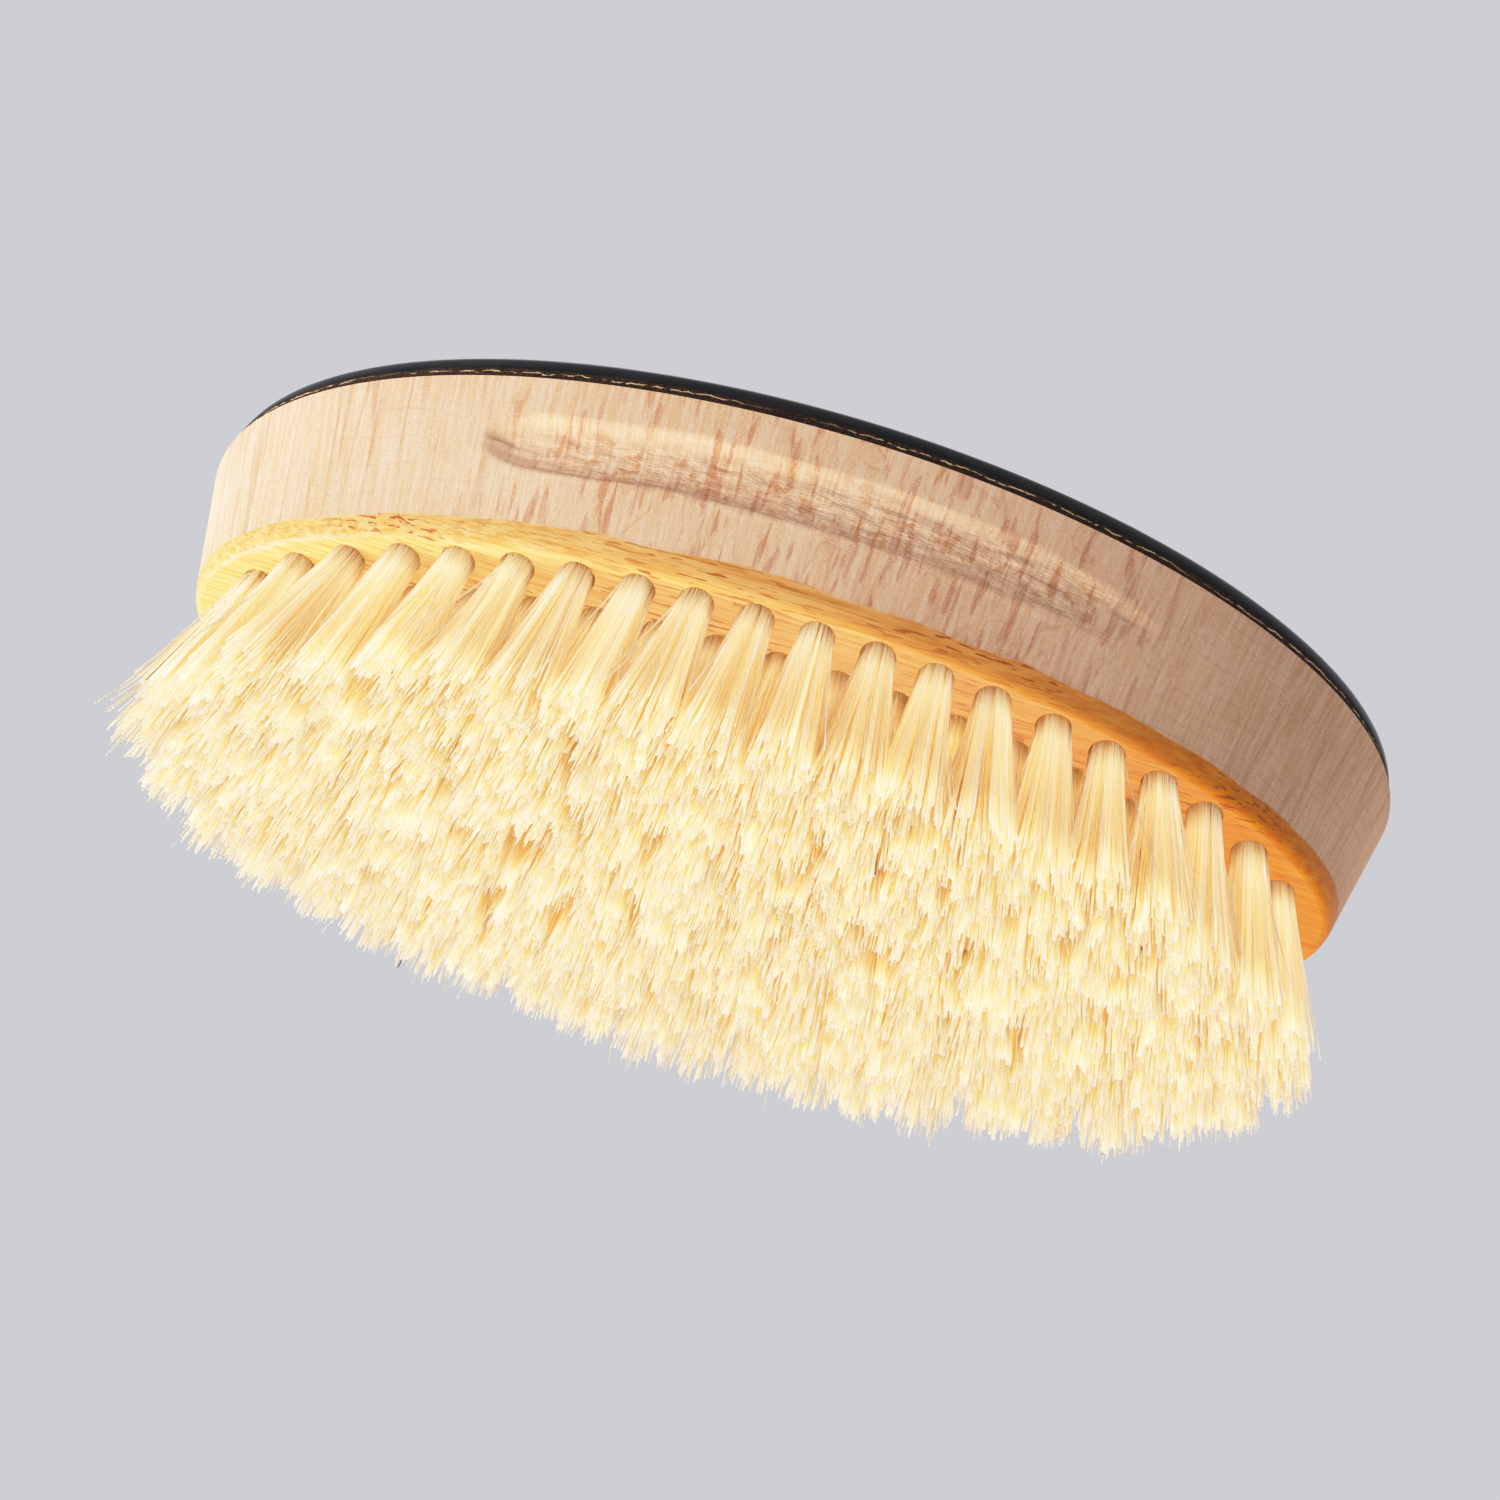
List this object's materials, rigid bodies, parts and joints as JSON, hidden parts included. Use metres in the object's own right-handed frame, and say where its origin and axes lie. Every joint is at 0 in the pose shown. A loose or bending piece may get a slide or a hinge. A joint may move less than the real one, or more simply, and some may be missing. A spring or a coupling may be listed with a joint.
{
  "type": "clothes brush",
  "caption": "Oval hand brush for clothes: wooden stock with side finger grooves, rounded glossy dark back, and rows of drawn natural bristle tufts.",
  "frame": {"origin": "on the plane of the bristle tips, under the middle of the oval", "axes": "+X along the brush, +Y across it, +Z from the bristle tips to the back"},
  "size_m": [0.125, 0.0566, 0.044],
  "materials": {
    "beech": "raw beech on the side, orange varnish on the underside",
    "seam": "rough",
    "horn": "polished",
    "bristle": "satin natural bristle",
    "wire": "drawn"
  },
  "bodies": {
    "root": {"back_plate": "horn", "draw_wire_row1": "wire", "draw_wire_row2": "wire", "draw_wire_row3": "wire", "draw_wire_row4": "wire", "draw_wire_row5": "wire", "seam_layer": "seam", "stock": "beech", "tufts_row1_run1": "bristle", "tufts_row1_run2": "bristle", "tufts_row1_run3": "bristle", "tufts_row1_run4": "bristle", "tufts_row1_run5": "bristle", "tufts_row1_run6": "bristle", "tufts_row2_run1": "bristle", "tufts_row2_run2": "bristle", "tufts_row2_run3": "bristle", "tufts_row2_run4": "bristle", "tufts_row2_run5": "bristle", "tufts_row2_run6": "bristle", "tufts_row3_run1": "bristle", "tufts_row3_run2": "bristle", "tufts_row3_run3": "bristle", "tufts_row3_run4": "bristle", "tufts_row4_run1": "bristle", "tufts_row4_run2": "bristle", "tufts_row5_run1": "bristle"}
  },
  "joints": []
}
